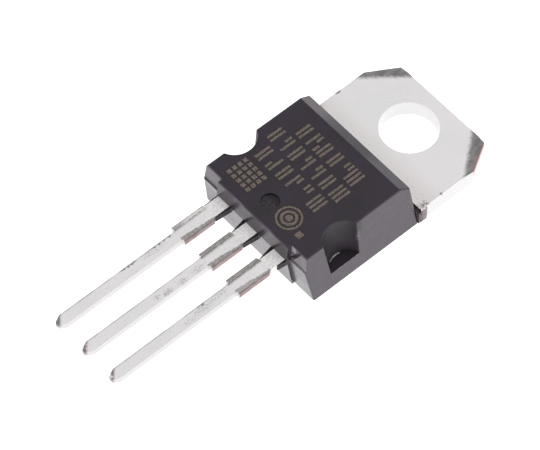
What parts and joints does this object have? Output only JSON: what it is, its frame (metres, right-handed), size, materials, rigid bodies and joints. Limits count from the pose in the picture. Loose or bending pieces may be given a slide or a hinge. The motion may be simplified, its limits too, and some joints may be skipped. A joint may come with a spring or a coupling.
{
  "type": "darlington transistor",
  "caption": "Power transistor in a through-hole package: black moulded block, bare metal tab with a mounting hole, and straight tinned leads.",
  "frame": {"origin": "centre of the tab's mounting hole, in the plane of the metal back face", "axes": "+Y towards the end of the tab, so the leads run towards -Y; +Z along the mounting hole, out of the marked face; +X to the emitter lead's side"},
  "size_m": [0.0102, 0.0289, 0.0044],
  "materials": {
    "epoxy": "fine matte moulding compound",
    "tinned_copper": "satin tin plate on copper",
    "silicon": "polished",
    "solder": "satin",
    "aluminium_wire": "drawn"
  },
  "bodies": {
    "root": {"moulded_body": "epoxy", "heat_sink": "tinned_copper", "base_lead": "tinned_copper", "emitter_lead": "tinned_copper", "darlington_die": "silicon", "die_solder": "solder", "base_bond_wire": "aluminium_wire", "emitter_bond_wire": "aluminium_wire"}
  },
  "joints": []
}
